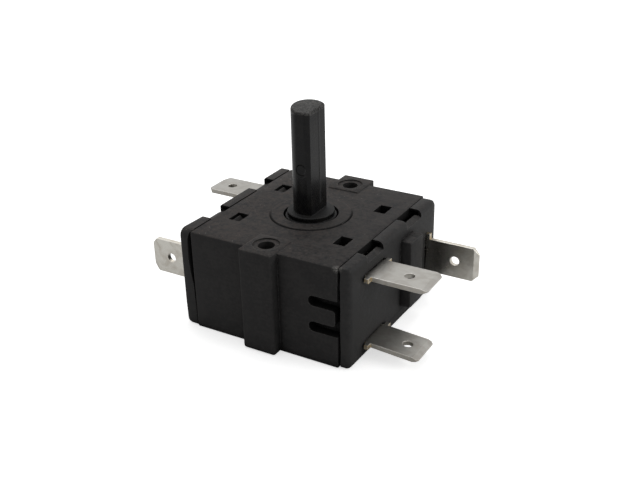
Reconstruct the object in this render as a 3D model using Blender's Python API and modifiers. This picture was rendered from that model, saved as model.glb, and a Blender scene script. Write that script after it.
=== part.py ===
"""Rotary selector switch with a D-shaped shaft and five push-on terminals.

Sizes are in metres, +Z up. The origin lies on the shaft's axis, on the face that the housing stands on.
The two end caps and their terminals are drawn at the +X end; those of the -X end are turned half round.
"""
import math

import bmesh
import bpy
from mathutils import Matrix, Vector

# Clearances
FIT = 0.00025  # between pieces that seat on or in each other
SEAM = 0.0001  # between the housing's open ends and the caps that close them
RUNNING_FIT = 0.0002  # between turning pieces and their bearings
RING_PLAY = 0.0001  # more room between the drum and the detent ring, so that only the balls touch it

# Housing
HOUSING_LENGTH = 0.0278
HOUSING_WIDTH = 0.0316
HOUSING_HEIGHT = 0.0180
WALL = 0.0016
HOUSING_EDGE = 0.0003
BOSS_WIDTH = 0.0062
BOSS_DEPTH = 0.0019
BOSS_EDGE = 0.0005
PAD_INSET = 0.0047
PAD_HEIGHT = 0.0002
SCREW_INSET = 0.0018
SCREW_HOLE_RADIUS = 0.0014
SCREW_HOLE_DEPTH = 0.0095
SCREW_SINK_RADIUS = 0.00225
SCREW_SINK_DEPTH = 0.00022
DISC_RADIUS = 0.0069
DISC_HEIGHT = 0.0001
WINDOW_INSET = 0.0027
WINDOW_LENGTH = 0.0022
WINDOW_Y = (0.0055, 0.0086)
SNAP_SLOT_LENGTH = 0.0053
SNAP_SLOT_HEIGHT = 0.0018
SNAP_SLOT_LEVELS = (0.625, 0.367)  # shares of the housing's height
SNAP_SLOT_ROUNDING = 0.45  # share of the slot's height
SNAP_TONGUE_GAP = 0.0005

# Base cover
BASE_THICKNESS = 0.0015
BASE_STEP = 0.0009
BEARING_FLOOR = 0.0008

# End caps
CAP_THICKNESS = 0.0020
CAP_STEP = 0.00025  # how far the cap's ends stay behind the housing's walls
CAP_LIFT = 0.00015
CAP_CORNER = 0.0013
RIGHT_CAP_ROLL = 0.0009  # radius of the rolled rim round the cap's outer face
LEFT_CAP_ROLL = 0.00035
CAP_CORNER_ROLL = 0.4  # share of that radius at the corners that stand square
CAP_SEAM_ROLL = 0.1  # share of it along the seam
CAP_RIM_THICKNESS = 0.0009
CAP_RIM_REACH = 0.0059
CAP_RIB_Y = (0.0020, 0.0066)
CAP_RIB_BOTTOM = 0.0030
CAP_RIB_DROP = 0.0025
CAP_RIB_DEPTH = 0.0020
CAP_RIB_EDGE = 0.0004
NOTCH_Y = (0.0043, 0.0097)
NOTCH_DEPTH = 0.00095
NOTCH_POCKET = 0.0009
NOTCH_ROLL = 0.00172  # radius of the notch's floor, which falls away outward
CORE_SKIN = 0.00035  # plastic left above the cored-out rim beside a notch
CORE_WALL = 0.0006
CORE_REACH = 0.0030
HOOK_THICKNESS = 0.0015
HOOK_DROP = 0.0042
HOOK_PLAY = 0.0004
HOOK_RAMP = 0.0010
LEFT_HOOK_SINK = 0.00035  # how far a hook's nose stays below the housing's top face
RIGHT_HOOK_SINK = 0.0017

# Rotor
SHAFT_RADIUS = 0.0030
SHAFT_DRAFT = 0.025  # how much thinner the shaft is at its end, as a share of its radius
SHAFT_TOP = 0.0370
SHAFT_EDGE = 0.00035
SHAFT_END_TILT = 7.0  # degrees by which the end is out of square
SHAFT_END_TILT_BEARING = -60.0  # degrees from +X, the way that the end leans
MAIN_FLAT_X = 0.00166
SMALL_FLAT_DEPTH = 0.0002
SMALL_FLAT_WIDTH = 0.0021
SMALL_FLAT_END = 0.0255
COLLAR_RADIUS = 0.00405
COLLAR_HEIGHT = 0.00078
COLLAR_EDGE = 0.0001
FLANGE_RADIUS = 0.00438
FLANGE_SINK = 0.0001
SHAFT_HOLE_GAP = 0.00036
DRUM_END_GAP = 0.0047
DRUM_COLUMN_GAP = 0.0019
DRUM_EDGE = 0.0004
WASHER_THICKNESS = 0.0005
WASHER_INSET = 0.0016
DRUM_BOTTOM = 0.0029
JOURNAL_RADIUS = 0.0030

# Contacts
UPPER_CONTACT_LEVEL = 0.6056  # shares of the housing's height
LOWER_CONTACT_LEVEL = 0.2778
CONTACT_Y = 0.0032
CONTACT_RADIUS = 0.0011
CONTACT_DOME = 0.0004
CONTACT_HEAD = 0.0010
CONTACT_SHANK_RADIUS = 0.00065
CONTACT_TAIL = 0.0003
CONTACT_STEPS = 14
CONTACT_DOME_RINGS = (0.35, 0.7, 1.0)  # shares of the contact's radius
CONTACT_PROUD = 0.0007
CONTACT_GAP = 0.00025
BRIDGE_THICKNESS = 0.0008
BRIDGE_HEIGHT = 0.0022
BRIDGE_WIDTH = 0.0086
BRIDGE_CORNER = 0.00044
POCKET_DEPTH = 0.0048

# Terminals
BLADE_WIDTH = 0.0063
BLADE_THICKNESS = 0.0008
BLADE_HOLE_RADIUS = 0.00085
BLADE_CORNER = 0.0011
LEG_SPREAD = (0.36, 0.27)  # shares of the blade's width on each side of its contact
BLADE_TIP_TAPER = 0.0002
BLADE_TIP_TAPER_LENGTH = 0.0009
SHOULDER_WIDTH = 0.0082
SHOULDER_DEPTH = 0.00075
NECK_INSET = 0.0011
BEND_RADIUS = 0.0005
SQUARE_CORNER = 0.0005
BROKEN_CORNER = 0.0004
BROKEN_DROOP = 3.7  # degrees

# Where each terminal stands in its cap, reach being counted from the cap's outer face
RIGHT_UPPER_Y = -0.00745
RIGHT_UPPER_DROP = 0.0031
RIGHT_UPPER_REACH = 0.0104
RIGHT_HOLE_REACH = 0.0061
RIGHT_LOWER_Y = -0.0075
RIGHT_LOWER_TOP = 0.0029
RIGHT_LOWER_REACH = 0.0093
RIGHT_REAR_DROP = 0.0004
RIGHT_REAR_INSET = 0.00235
RIGHT_REAR_REACH = 0.0102
RIGHT_REAR_HOLE_REACH = 0.0058
LEFT_REACH = 0.0095
LEFT_REAR_Y = -0.0076
LEFT_REAR_DROP = 0.0019
LEFT_REAR_HOLE_REACH = 0.0058
LEFT_FRONT_RISE = 0.00078
LEFT_FRONT_INSET = 0.0028
LEFT_FRONT_HOLE_REACH = 0.0054

# Detent
BALL_RADIUS = 0.0014
DETENT_RING_GAP = 0.0005
DETENT_COLUMN_GAP = 0.0002
DETENT_POSITIONS = 12
DETENT_DEPTH = 0.0005
DETENT_KEY_WIDTH = 0.0030
DETENT_KEY_DEPTH = 0.0006
BORE_DEPTH = 0.0056

# Springs
SPRING_WIRE_RADIUS = 0.00018
SPRING_RADIUS = 0.0010
SPRING_TURNS = 4
SPRING_STEPS = 9  # to a turn

# Derived sizes
SNAP_SLOT_START_X = HOUSING_LENGTH / 2 - SNAP_SLOT_LENGTH
WINDOW_X = (HOUSING_LENGTH / 2 - WINDOW_INSET - WINDOW_LENGTH, HOUSING_LENGTH / 2 - WINDOW_INSET)
PAD_INNER_Y = HOUSING_WIDTH / 2 - PAD_INSET
SCREW_Y = HOUSING_WIDTH / 2 - SCREW_INSET
DRUM_RADIUS = min(HOUSING_LENGTH / 2 - DRUM_END_GAP, PAD_INNER_Y - DRUM_COLUMN_GAP)
UPPER_CONTACT_Z = HOUSING_HEIGHT * UPPER_CONTACT_LEVEL
LOWER_CONTACT_Z = HOUSING_HEIGHT * LOWER_CONTACT_LEVEL
DETENT_Z = (UPPER_CONTACT_Z + LOWER_CONTACT_Z) / 2
DETENT_RING_HEIGHT = UPPER_CONTACT_Z - LOWER_CONTACT_Z - BRIDGE_HEIGHT - DETENT_RING_GAP * 2
DETENT_RING_OUTER = PAD_INNER_Y - DETENT_COLUMN_GAP
MOVING_CONTACT_FACE_X = DRUM_RADIUS + CONTACT_PROUD
POCKET_FLOOR_X = DRUM_RADIUS - POCKET_DEPTH
BORE_FLOOR_Y = DRUM_RADIUS - BORE_DEPTH
CAP_INNER_X = HOUSING_LENGTH / 2 + SEAM
CAP_OUTER_X = CAP_INNER_X + CAP_THICKNESS
INNER_TOP = HOUSING_HEIGHT - WALL
INNER_Y = HOUSING_WIDTH / 2 - WALL
BOSS_OUTER_Y = HOUSING_WIDTH / 2 + BOSS_DEPTH
SHAFT_HOLE_RADIUS = FLANGE_RADIUS + SHAFT_HOLE_GAP
WASHER_TOP = INNER_TOP - RUNNING_FIT
DRUM_TOP = WASHER_TOP - WASHER_THICKNESS - RUNNING_FIT
JOURNAL_BOTTOM = BEARING_FLOOR + RUNNING_FIT
BRIDGE_OUTER_X = MOVING_CONTACT_FACE_X - CONTACT_HEAD - FIT
FIXED_CONTACT_FACE_X = MOVING_CONTACT_FACE_X + CONTACT_GAP
LEG_INNER_X = FIXED_CONTACT_FACE_X + CONTACT_HEAD + FIT
NECK_END_X = CAP_INNER_X - NECK_INSET
DETENT_RING_INNER = DRUM_RADIUS + RUNNING_FIT + RING_PLAY
BALL_Y = DETENT_RING_INNER + DETENT_DEPTH - BALL_RADIUS
HALF_TURN = math.pi
QUARTER_TURN = math.pi / 2


def clear_scene():
    for obj in list(bpy.data.objects):
        bpy.data.objects.remove(obj, do_unlink=True)


def make_collection(name):
    collection = bpy.data.collections.new(name)
    bpy.context.scene.collection.children.link(collection)
    return collection


def make_material(name, colour, roughness, metallic=0.0):
    material = bpy.data.materials.new(name)
    material.use_nodes = True
    shader = material.node_tree.nodes["Principled BSDF"]
    shader.inputs["Base Color"].default_value = (*colour, 1.0)
    shader.inputs["Roughness"].default_value = roughness
    shader.inputs["Metallic"].default_value = metallic
    material.diffuse_color = (*colour, 1.0)
    return material


clear_scene()
PARTS = make_collection("rotary_selector_switch")
CUTTERS = make_collection("cutters")
LOOKS = {
    "housing": ((0.035, 0.034, 0.034), 0.50, 0.0),
    "cap": ((0.030, 0.030, 0.031), 0.50, 0.0),
    "rotor": ((0.022, 0.022, 0.023), 0.32, 0.0),
    "nylon": ((0.55, 0.54, 0.50), 0.55, 0.0),
    "tinned_brass": ((0.62, 0.60, 0.55), 0.38, 1.0),
    "brass": ((0.70, 0.52, 0.25), 0.35, 1.0),
    "silver": ((0.80, 0.79, 0.77), 0.30, 1.0),
    "steel": ((0.55, 0.55, 0.56), 0.28, 1.0),
}


def finish_part(obj, look, parent=None):
    """Name the material after the piece and put the piece among the parts."""
    colour, roughness, metallic = LOOKS[look]
    obj.data.materials.clear()
    obj.data.materials.append(make_material(obj.name + "_" + look, colour, roughness, metallic))
    PARTS.objects.link(obj)
    if parent is not None:
        obj.parent = parent
    return obj


def finish_cutter(obj, parent=None):
    CUTTERS.objects.link(obj)
    obj.hide_render = True
    obj.display_type = "WIRE"
    if parent is not None:
        obj.parent = parent
    return obj


def object_from_bmesh(name, bm):
    mesh = bpy.data.meshes.new(name)
    bmesh.ops.recalc_face_normals(bm, faces=bm.faces)
    bm.to_mesh(mesh)
    bm.free()
    return bpy.data.objects.new(name, mesh)


def block(name, low, high):
    """A box between two corners, with its origin at its centre."""
    low = Vector(low)
    high = Vector(high)
    bm = bmesh.new()
    bmesh.ops.create_cube(bm, size=1.0)
    bmesh.ops.scale(bm, vec=high - low, verts=bm.verts)
    obj = object_from_bmesh(name, bm)
    obj.location = (low + high) / 2
    return obj


def rod(name, radius, length, location, turn=(0, 0, 0), segments=32):
    """A cylinder about its own Z, centred on its location."""
    bm = bmesh.new()
    bmesh.ops.create_cone(
        bm, cap_ends=True, segments=segments, radius1=radius, radius2=radius, depth=length)
    obj = object_from_bmesh(name, bm)
    obj.location = location
    obj.rotation_euler = turn
    return obj


def turned(name, profile, segments):
    """A profile of (radius, height) points, top to bottom, turned about Z."""
    bm = bmesh.new()
    verts = [bm.verts.new((radius, 0, height)) for radius, height in profile]
    for first, second in zip(verts, verts[1:]):
        bm.edges.new((first, second))
    mesh = bpy.data.meshes.new(name)
    bm.to_mesh(mesh)
    bm.free()
    obj = bpy.data.objects.new(name, mesh)
    screw = obj.modifiers.new("turn", "SCREW")
    screw.steps = segments
    screw.render_steps = segments
    screw.use_merge_vertices = True
    screw.merge_threshold = 0.00001
    return obj


def arc(centre, radius, start, end, steps):
    """Points along an arc, angles in degrees."""
    points = []
    for step in range(steps + 1):
        angle = math.radians(start + (end - start) * step / steps)
        points.append((centre[0] + radius * math.cos(angle), centre[1] + radius * math.sin(angle)))
    return points


def circle(centre, radius, steps=24):
    return arc(centre, radius, 0, 360, steps)[:-1]


def rounded(corners, steps=3):
    """A closed outline from (x, y, radius) corners, with the corners rounded by arcs."""
    points = []
    count = len(corners)
    for index, (x, y, radius) in enumerate(corners):
        corner = Vector((x, y))
        if radius <= 0:
            points.append((x, y))
            continue
        before = (Vector(corners[index - 1][:2]) - corner).normalized()
        after = (Vector(corners[(index + 1) % count][:2]) - corner).normalized()
        half = before.angle(after) / 2
        centre = corner + (before + after).normalized() * radius / math.sin(half)
        start = corner + before * radius / math.tan(half) - centre
        end = corner + after * radius / math.tan(half) - centre
        sweep = start.angle_signed(end)
        for step in range(steps + 1):
            spoke = start.copy()
            spoke.rotate(Matrix.Rotation(-sweep * step / steps, 2))
            points.append(tuple(centre + spoke))
    return points


def rectangle(low, high, radius=0.0):
    return rounded([
        (low[0], low[1], radius), (high[0], low[1], radius),
        (high[0], high[1], radius), (low[0], high[1], radius)])


def prism(name, loops, low, high):
    """Flat outlines, holes included, filled and raised from low to high along Z."""
    curve = bpy.data.curves.new(name, "CURVE")
    curve.dimensions = "2D"
    curve.fill_mode = "BOTH"
    curve.extrude = (high - low) / 2
    for loop in loops:
        spline = curve.splines.new("POLY")
        spline.points.add(len(loop) - 1)
        for point, (x, y) in zip(spline.points, loop):
            point.co = (x, y, 0, 1)
        spline.use_cyclic_u = True
    sheet = bpy.data.objects.new(name + "_outline", curve)
    bpy.context.scene.collection.objects.link(sheet)
    depsgraph = bpy.context.evaluated_depsgraph_get()
    mesh = bpy.data.meshes.new_from_object(sheet.evaluated_get(depsgraph))
    bpy.data.objects.remove(sheet, do_unlink=True)
    bm = bmesh.new()
    bm.from_mesh(mesh)
    bpy.data.meshes.remove(mesh)
    bmesh.ops.remove_doubles(bm, verts=bm.verts, dist=0.000001)
    bmesh.ops.dissolve_limit(bm, angle_limit=0.001, verts=bm.verts, edges=bm.edges)
    bmesh.ops.translate(bm, vec=(0, 0, (low + high) / 2), verts=bm.verts)
    return object_from_bmesh(name, bm)


def combine(target, other, operation):
    """Cut the target with another shape, or join that shape to it."""
    modifier = target.modifiers.new(other.name, "BOOLEAN")
    modifier.operation = operation
    modifier.solver = "EXACT"
    modifier.object = other


def cut(target, cutter):
    combine(target, finish_cutter(cutter, target), "DIFFERENCE")


def join(target, shape):
    combine(target, finish_cutter(shape, target), "UNION")


def soften(obj, width, segments=2):
    bevel = obj.modifiers.new("edges", "BEVEL")
    bevel.width = width
    bevel.segments = segments
    bevel.limit_method = "ANGLE"
    bevel.angle_limit = math.radians(40)


def soften_by_weight(obj, width, weight_of, segments=3):
    """Round each edge by its own share of a width; weight_of takes the edge's two ends."""
    bm = bmesh.new()
    bm.from_mesh(obj.data)
    layer = bm.edges.layers.float.new("bevel_weight_edge")
    for edge in bm.edges:
        sharp = edge.is_manifold and edge.calc_face_angle() > math.radians(60)
        edge[layer] = weight_of(*[vert.co for vert in edge.verts]) if sharp else 0.0
    bm.to_mesh(obj.data)
    bm.free()
    bevel = obj.modifiers.new("edges", "BEVEL")
    bevel.width = width
    bevel.segments = segments
    bevel.limit_method = "WEIGHT"


def smooth(obj):
    obj.data.shade_smooth()
    obj.data.set_sharp_from_angle(angle=math.radians(35))


def make_housing():
    half_x = HOUSING_LENGTH / 2
    half_y = HOUSING_WIDTH / 2
    boss_x = BOSS_WIDTH / 2
    over = WALL
    housing = prism("housing", [rectangle((-half_x, -half_y), (half_x, half_y))], 0, HOUSING_HEIGHT)
    soften(housing, HOUSING_EDGE)
    hollow = rectangle((-half_x - over, -INNER_Y), (half_x + over, INNER_Y))
    cut(housing, prism("housing_hollow", [hollow], -over, INNER_TOP))
    pad_top = HOUSING_HEIGHT + PAD_HEIGHT
    for side, label in ((-1, "front"), (1, "back")):
        # a column from the hollow out through the wall is the boss, its pad and the screw's seat
        ys = sorted((side * PAD_INNER_Y, side * BOSS_OUTER_Y))
        boss = prism("boss_" + label, [rectangle((-boss_x, ys[0]), (boss_x, ys[1]))], 0, pad_top)
        top_share = PAD_HEIGHT / BOSS_EDGE
        soften_by_weight(boss, BOSS_EDGE, lambda a, b: top_share if min(a.z, b.z) > over else 1.0)
        join(housing, boss)
        hole_base = pad_top - SCREW_HOLE_DEPTH
        cut(housing, rod(
            "screw_hole_" + label, SCREW_HOLE_RADIUS, SCREW_HOLE_DEPTH + over,
            (0, side * SCREW_Y, hole_base + (SCREW_HOLE_DEPTH + over) / 2), segments=24))
        cut(housing, rod(
            "screw_sink_" + label, SCREW_SINK_RADIUS, SCREW_SINK_DEPTH * 2,
            (0, side * SCREW_Y, pad_top), segments=32))
        # a groove down each column takes the key of the detent ring
        key_x = DETENT_KEY_WIDTH / 2 + FIT
        key_end = DETENT_RING_OUTER + DETENT_KEY_DEPTH + FIT
        key_y = sorted((side * (PAD_INNER_Y - over), side * key_end))
        cut(housing, block(
            "key_groove_" + label, (-key_x, key_y[0], -over),
            (key_x, key_y[1], DETENT_Z + DETENT_RING_HEIGHT / 2 + FIT)))
    join(housing, rod(
        "raised_disc", DISC_RADIUS, WALL / 2 + DISC_HEIGHT,
        (0, 0, HOUSING_HEIGHT + (DISC_HEIGHT - WALL / 2) / 2), segments=64))
    cut(housing, rod(
        "shaft_hole", SHAFT_HOLE_RADIUS, WALL * 3, (0, 0, HOUSING_HEIGHT), segments=48))
    for x_side in (-1, 1):
        for y_side in (-1, 1):
            xs = sorted(x_side * x for x in WINDOW_X)
            ys = sorted(y_side * y for y in WINDOW_Y)
            cut(housing, block(
                "window_%d_%d" % (x_side, y_side), (xs[0], ys[0], INNER_TOP - over),
                (xs[1], ys[1], HOUSING_HEIGHT + over)))
    for side, label in ((1, "front"), (-1, "back")):
        cut_snap_slots(housing, side, label)
    return finish_part(housing, "housing")


def cut_snap_slots(housing, side, label):
    """Two slots and the gap at the seam leave a springy tongue in the wall; the back is turned half round."""
    half_x = HOUSING_LENGTH / 2
    upper, lower = [share * HOUSING_HEIGHT for share in SNAP_SLOT_LEVELS]
    half = SNAP_SLOT_HEIGHT / 2
    open_x = half_x + WALL
    tongue_x = half_x - SNAP_TONGUE_GAP
    tongue_corner = SNAP_TONGUE_GAP
    slot_end = SNAP_SLOT_HEIGHT * SNAP_SLOT_ROUNDING
    outline = rounded([
        (open_x, upper + half, 0), (SNAP_SLOT_START_X, upper + half, slot_end),
        (SNAP_SLOT_START_X, upper - half, slot_end), (tongue_x, upper - half, tongue_corner),
        (tongue_x, lower + half, tongue_corner), (SNAP_SLOT_START_X, lower + half, slot_end),
        (SNAP_SLOT_START_X, lower - half, slot_end), (open_x, lower - half, 0)])
    slots = prism("snap_slots_" + label, [outline], INNER_Y - WALL / 2, HOUSING_WIDTH / 2 + WALL / 2)
    # the outline's own Y stands up and its thickness points to the front wall
    turn = Matrix.Rotation(0 if side > 0 else HALF_TURN, 4, "Z") @ Matrix.Rotation(QUARTER_TURN, 4, "X")
    slots.matrix_world = turn
    cut(housing, slots)


def make_base_cover():
    """Closes the housing from below, carries the drum's journal and clears the screw columns."""
    half_x = HOUSING_LENGTH / 2 - FIT
    half_y = INNER_Y - FIT
    notch_x = BOSS_WIDTH / 2 + FIT
    notch_y = PAD_INNER_Y - FIT
    outline = [
        (-half_x, -half_y), (-notch_x, -half_y), (-notch_x, -notch_y),
        (notch_x, -notch_y), (notch_x, -half_y), (half_x, -half_y)]
    outline += [(-x, -y) for x, y in outline]
    base = prism("base_cover", [outline], 0, BASE_THICKNESS)
    bearing_radius = JOURNAL_RADIUS + RUNNING_FIT
    boss_top = BASE_THICKNESS + BASE_STEP
    join(base, rod(
        "bearing_boss", bearing_radius + WALL, boss_top - BASE_THICKNESS / 2,
        (0, 0, (boss_top + BASE_THICKNESS / 2) / 2), segments=36))
    cut(base, rod(
        "bearing_bore", bearing_radius, BASE_THICKNESS * 2,
        (0, 0, BEARING_FLOOR + BASE_THICKNESS), segments=36))
    return finish_part(base, "housing")


def end_cap_plate(name, roll):
    """The plate in the YZ plane, drawn flat and stood up, with a rolled rim round its outer face."""
    half_y = HOUSING_WIDTH / 2 - CAP_STEP
    outline = rounded([
        (-half_y, CAP_LIFT, 0), (half_y, CAP_LIFT, 0),
        (half_y, HOUSING_HEIGHT, CAP_CORNER), (-half_y, HOUSING_HEIGHT, 0)], 4)
    plate = prism(name, [outline], CAP_INNER_X, CAP_OUTER_X)
    stand_up = Matrix.Rotation(QUARTER_TURN, 4, "Z") @ Matrix.Rotation(QUARTER_TURN, 4, "X")
    plate.data.transform(stand_up)
    middle = (CAP_INNER_X + CAP_OUTER_X) / 2

    def share(a, b):
        if min(a.x, b.x) > middle:
            return 1.0
        return CAP_SEAM_ROLL if max(a.x, b.x) < middle else CAP_CORNER_ROLL

    soften_by_weight(plate, roll, share)
    # the roll's long faces are a little twisted at the corners, so they are split before any cut
    plate.modifiers.new("flat faces", "TRIANGULATE")
    return plate


def end_cap(name, turn, roll, hook_sink, flat_blades, upright_blade):
    cap = end_cap_plate(name, roll)
    sunk = CAP_THICKNESS / 2
    # rims that locate the cap inside the front and back walls
    for side, label in ((-1, "front"), (1, "back")):
        ys = sorted((side * (INNER_Y - FIT), side * (INNER_Y - FIT - CAP_RIM_THICKNESS)))
        join(cap, block(
            name + "_rim_" + label, (CAP_INNER_X - CAP_RIM_REACH, ys[0], BASE_THICKNESS + FIT * 2),
            (CAP_INNER_X + sunk, ys[1], INNER_TOP - FIT * 2)))
        join(cap, latch_hook(name + "_hook_" + label, side, hook_sink))
    rib = block(
        name + "_rib", (CAP_OUTER_X - sunk, CAP_RIB_Y[0], CAP_RIB_BOTTOM),
        (CAP_OUTER_X + CAP_RIB_DEPTH, CAP_RIB_Y[1], HOUSING_HEIGHT - CAP_RIB_DROP))
    soften(rib, CAP_RIB_EDGE)
    join(cap, rib)
    pocket_floor = max(blade["top"] for blade in flat_blades) + BLADE_THICKNESS
    for side, label in ((-1, "front"), (1, "back")):
        ys = sorted(side * y for y in NOTCH_Y)
        cut(cap, notch_cutter(name + "_notch_" + label, ys, pocket_floor))
    # the rim beside each notch is cored out from the seam, as thick plastic would sink
    near, far = NOTCH_Y
    for label, ys in (("middle", (-near - FIT, near + FIT)), ("front", (-far - CORE_REACH, FIT - far)),
                      ("back", (far - FIT, far + CORE_REACH))):
        cut(cap, block(
            "%s_core_%s" % (name, label), (CAP_INNER_X - CORE_WALL, ys[0], pocket_floor + FIT),
            (CAP_OUTER_X - CORE_WALL, ys[1], HOUSING_HEIGHT - CORE_SKIN)))
    for blade in flat_blades:
        cut(cap, block(
            name + "_slot_%d" % round(blade["top"] * 10000),
            (CAP_INNER_X - CAP_THICKNESS, blade["slot_y"] - BLADE_WIDTH / 2 - FIT,
             blade["top"] - BLADE_THICKNESS - FIT),
            (CAP_OUTER_X + CAP_THICKNESS, blade["slot_y"] + BLADE_WIDTH / 2 + FIT,
             blade["top"] + FIT)))
    cut(cap, block(
        name + "_slot_upright",
        (CAP_INNER_X - CAP_THICKNESS, upright_blade["near_y"] - FIT,
         upright_blade["slot_z"] - BLADE_WIDTH / 2 - FIT),
        (CAP_OUTER_X + CAP_THICKNESS, upright_blade["near_y"] + BLADE_THICKNESS + FIT,
         upright_blade["slot_z"] + BLADE_WIDTH / 2 + FIT)))
    cap.rotation_euler = (0, 0, turn)
    return finish_part(cap, "cap")


def notch_cutter(name, ys, pocket_floor):
    """The notch in the cap's upper edge: a floor that rolls down outward and a deeper pocket at the seam."""
    step_x = CAP_INNER_X + NOTCH_POCKET
    step_z = HOUSING_HEIGHT - NOTCH_DEPTH
    over = CAP_THICKNESS
    profile = [
        (CAP_INNER_X - over, HOUSING_HEIGHT + over), (CAP_INNER_X - over, pocket_floor),
        (step_x, pocket_floor)]
    # the roll stops above the highest blade's slot
    lowest = pocket_floor - BLADE_THICKNESS / 2
    roll = arc((step_x, step_z - NOTCH_ROLL), NOTCH_ROLL, 90, 0, 6)
    profile += [(x, z) for x, z in roll if z > lowest]
    end_x, end_z = profile[-1]
    profile += [(CAP_OUTER_X + over, end_z), (CAP_OUTER_X + over, HOUSING_HEIGHT + over)]
    cutter = prism(name, [profile], -ys[1], -ys[0])
    cutter.data.transform(Matrix.Rotation(QUARTER_TURN, 4, "X"))
    return cutter


def latch_hook(name, side, sink):
    """An arm under the housing's top whose nose slopes up into a window."""
    nose_low = WINDOW_X[0] + HOOK_PLAY
    nose_high = WINDOW_X[1] - HOOK_PLAY
    nose_top = HOUSING_HEIGHT - sink
    arm_top = HOUSING_HEIGHT - HOOK_DROP
    arm_bottom = arm_top - HOOK_THICKNESS
    root_x = CAP_INNER_X + CAP_THICKNESS / 2
    profile = [
        (root_x, arm_bottom), (root_x, arm_top), (nose_high, arm_top),
        (nose_high, nose_top), (nose_low, nose_top - HOOK_RAMP), (nose_low, arm_bottom)]
    ys = sorted(side * y for y in (WINDOW_Y[0] + FIT, WINDOW_Y[1] - FIT))
    hook = prism(name, [profile], -ys[1], -ys[0])
    hook.data.transform(Matrix.Rotation(QUARTER_TURN, 4, "X"))
    return hook


def make_rotor(axis):
    """Shaft, collar, flange and drum in one moulding."""
    edge = DRUM_EDGE
    collar_top = HOUSING_HEIGHT + COLLAR_HEIGHT
    flange_top = HOUSING_HEIGHT - FLANGE_SINK
    profile = [
        (0, collar_top), (COLLAR_RADIUS - COLLAR_EDGE, collar_top),
        (COLLAR_RADIUS, collar_top - COLLAR_EDGE),
        (COLLAR_RADIUS, flange_top), (FLANGE_RADIUS, flange_top), (FLANGE_RADIUS, DRUM_TOP),
        (DRUM_RADIUS - edge, DRUM_TOP), (DRUM_RADIUS, DRUM_TOP - edge),
        (DRUM_RADIUS, DRUM_BOTTOM + edge), (DRUM_RADIUS - edge, DRUM_BOTTOM),
        (JOURNAL_RADIUS, DRUM_BOTTOM), (JOURNAL_RADIUS, JOURNAL_BOTTOM), (0, JOURNAL_BOTTOM)]
    rotor = turned("rotor_shaft", profile, 48)
    over = SHAFT_RADIUS
    join(rotor, shaft_rod())
    cut(rotor, small_flat_cutter(SHAFT_TOP + over))
    for name, side, level in (("upper", 1, UPPER_CONTACT_Z), ("lower", -1, LOWER_CONTACT_Z)):
        xs = sorted((side * POCKET_FLOOR_X, side * (DRUM_RADIUS + over)))
        half_z = BRIDGE_HEIGHT / 2 + FIT
        half_y = BRIDGE_WIDTH / 2 + FIT
        cut(rotor, block(
            "pocket_" + name, (xs[0], -half_y, level - half_z), (xs[1], half_y, level + half_z)))
    for name, side in (("front", -1), ("back", 1)):
        length = DRUM_RADIUS + over - BORE_FLOOR_Y
        cut(rotor, rod(
            "ball_bore_" + name, BALL_RADIUS + RUNNING_FIT, length,
            (0, side * (BORE_FLOOR_Y + length / 2), DETENT_Z), (QUARTER_TURN, 0, 0), 24))
    finish_part(rotor, "rotor", axis)
    return rotor


def shaft_rod():
    """A round rod with the main flat down one side, a little thinner upward, its end out of square."""
    half = math.degrees(math.acos(MAIN_FLAT_X / SHAFT_RADIUS))
    base = HOUSING_HEIGHT - WALL
    outline = arc((0, 0), SHAFT_RADIUS, half, 360 - half, 40)
    shaft = prism("shaft", [outline], base, SHAFT_TOP)
    bearing = math.radians(SHAFT_END_TILT_BEARING)
    slope = math.tan(math.radians(SHAFT_END_TILT))
    for vert in shaft.data.vertices:
        if vert.co.z > HOUSING_HEIGHT:
            lean = vert.co.x * math.cos(bearing) + vert.co.y * math.sin(bearing)
            vert.co.z -= lean * slope
            share = 1 - SHAFT_DRAFT * (vert.co.z - base) / (SHAFT_TOP - base)
            vert.co.y *= share
            if not math.isclose(vert.co.x, MAIN_FLAT_X, rel_tol=0.001):  # the flat itself stays upright
                vert.co.x *= share
    soften_by_weight(shaft, SHAFT_EDGE, lambda a, b: 1.0 if min(a.z, b.z) > HOUSING_HEIGHT else 0.0)
    return shaft


def small_flat_cutter(top):
    """The shallow flat on the shaft's front, with a round lower end."""
    half = SMALL_FLAT_WIDTH / 2
    base = SMALL_FLAT_END + half
    outline = [(half, top)] + arc((0, base), half, 0, -180, 8) + [(-half, top)]
    front = SHAFT_RADIUS - SMALL_FLAT_DEPTH
    cutter = prism("small_flat", [outline], front, front + SHAFT_RADIUS)
    cutter.data.transform(Matrix.Rotation(QUARTER_TURN, 4, "X"))
    return cutter


def make_thrust_washer(axis):
    loops = [circle((0, 0), DRUM_RADIUS - WASHER_INSET, 36), circle((0, 0), FLANGE_RADIUS + RUNNING_FIT, 36)]
    washer = prism("thrust_washer", loops, WASHER_TOP - WASHER_THICKNESS, WASHER_TOP)
    finish_part(washer, "nylon", axis)


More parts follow.
